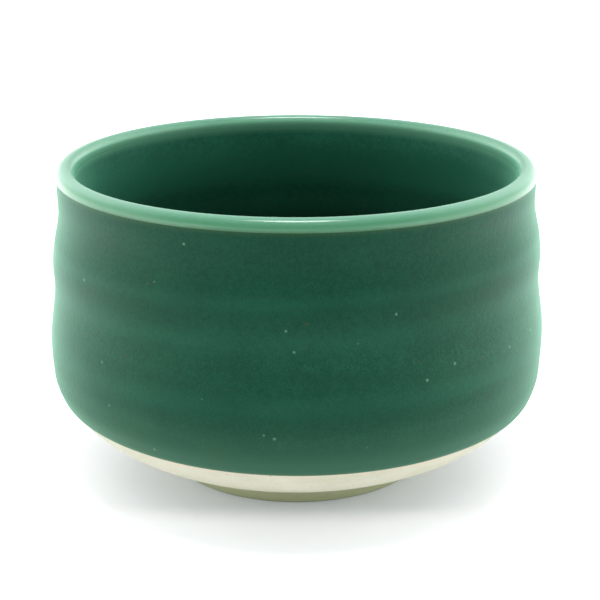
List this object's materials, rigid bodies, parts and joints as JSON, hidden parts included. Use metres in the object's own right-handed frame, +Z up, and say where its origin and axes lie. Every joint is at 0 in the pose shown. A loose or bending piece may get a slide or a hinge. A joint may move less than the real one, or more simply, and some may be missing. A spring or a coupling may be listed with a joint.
{
  "type": "matcha bowl",
  "caption": "Round straight-sided tea bowl for whisking matcha, with soft throwing ridges, a rounded rim, a bare clay base and a low foot ring.",
  "frame": {"origin": "on the ground, under the middle of the foot ring", "axes": "+Z up along the bowl's axis of turning, out of the mouth; X and Y lie across the mouth and are alike"},
  "size_m": [0.128, 0.128, 0.0795],
  "materials": {
    "bare_clay": "unglazed cream stoneware, dry and finely grained",
    "foot_clay": "unglazed cream stoneware, trimmed and lightly wiped",
    "outer_green_glaze": "satin deep green glaze with fine speckle",
    "inner_green_glaze": "satin deep green glaze, darker where it pools",
    "pale_rim_glaze": "thin satin glaze that breaks to pale green over the rim"
  },
  "bodies": {
    "root": {"clay_body": "bare_clay", "foot_ring": "foot_clay", "outer_glaze": "outer_green_glaze", "inner_glaze": "inner_green_glaze", "rim_glaze": "pale_rim_glaze"}
  },
  "joints": []
}
